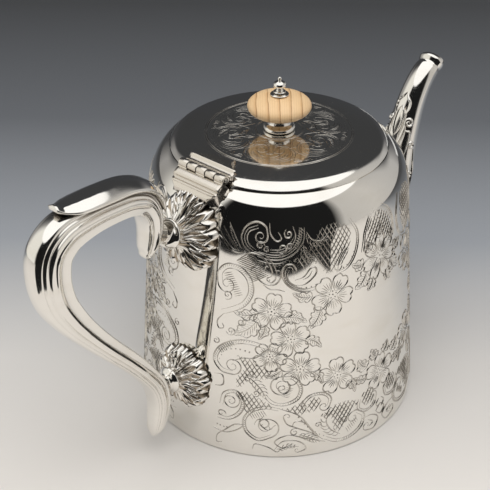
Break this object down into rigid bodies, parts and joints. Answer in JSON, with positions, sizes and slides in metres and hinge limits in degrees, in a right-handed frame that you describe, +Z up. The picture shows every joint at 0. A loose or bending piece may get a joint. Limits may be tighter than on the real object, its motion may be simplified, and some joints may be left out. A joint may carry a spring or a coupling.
{
  "type": "teapot",
  "caption": "Drum-shaped polished silver teapot with hinged domed lid, wooden bun knob, cast swan-neck spout and cast scroll handle on leaf sockets.",
  "frame": {"origin": "centre of the flat underside of the base, on the surface the pot stands on", "axes": "+X towards the spout, the handle is on -X, +Z up through the lid's knob, +Y completes the right-handed set"},
  "size_m": [0.2795, 0.1394, 0.1655],
  "materials": {
    "polished_silver": "hand-polished silver, engraved",
    "dull_silver": "unpolished silver inside and under the pot",
    "knob_wood": "turned pale wood, waxed"
  },
  "bodies": {
    "pot": {"body_shell": "polished_silver", "base_plate": "dull_silver", "lid_seat_ring": "dull_silver", "spout": "polished_silver", "handle": "polished_silver", "handle_thumb_leaf": "polished_silver", "upper_socket": "polished_silver", "lower_socket": "polished_silver", "upper_neck": "polished_silver", "lower_neck": "polished_silver", "hinge_body_leaf": "polished_silver", "hinge_pin": "dull_silver"},
    "lid": {"lid_disc": "polished_silver", "hinge_lid_leaf": "polished_silver", "lid_bezel": "dull_silver", "knob_collar": "polished_silver", "knob_wood": "knob_wood", "knob_top_washer": "polished_silver", "finial_bolt": "polished_silver", "knob_under_washer": "dull_silver", "knob_nut": "dull_silver"}
  },
  "joints": [
    {"name": "lid_hinge", "type": "hinge", "parent": "pot", "child": "lid", "pos_m": [-0.051, 0, 0.1382], "axis": [0, -1, 0], "range_deg": [0, 105]}
  ]
}
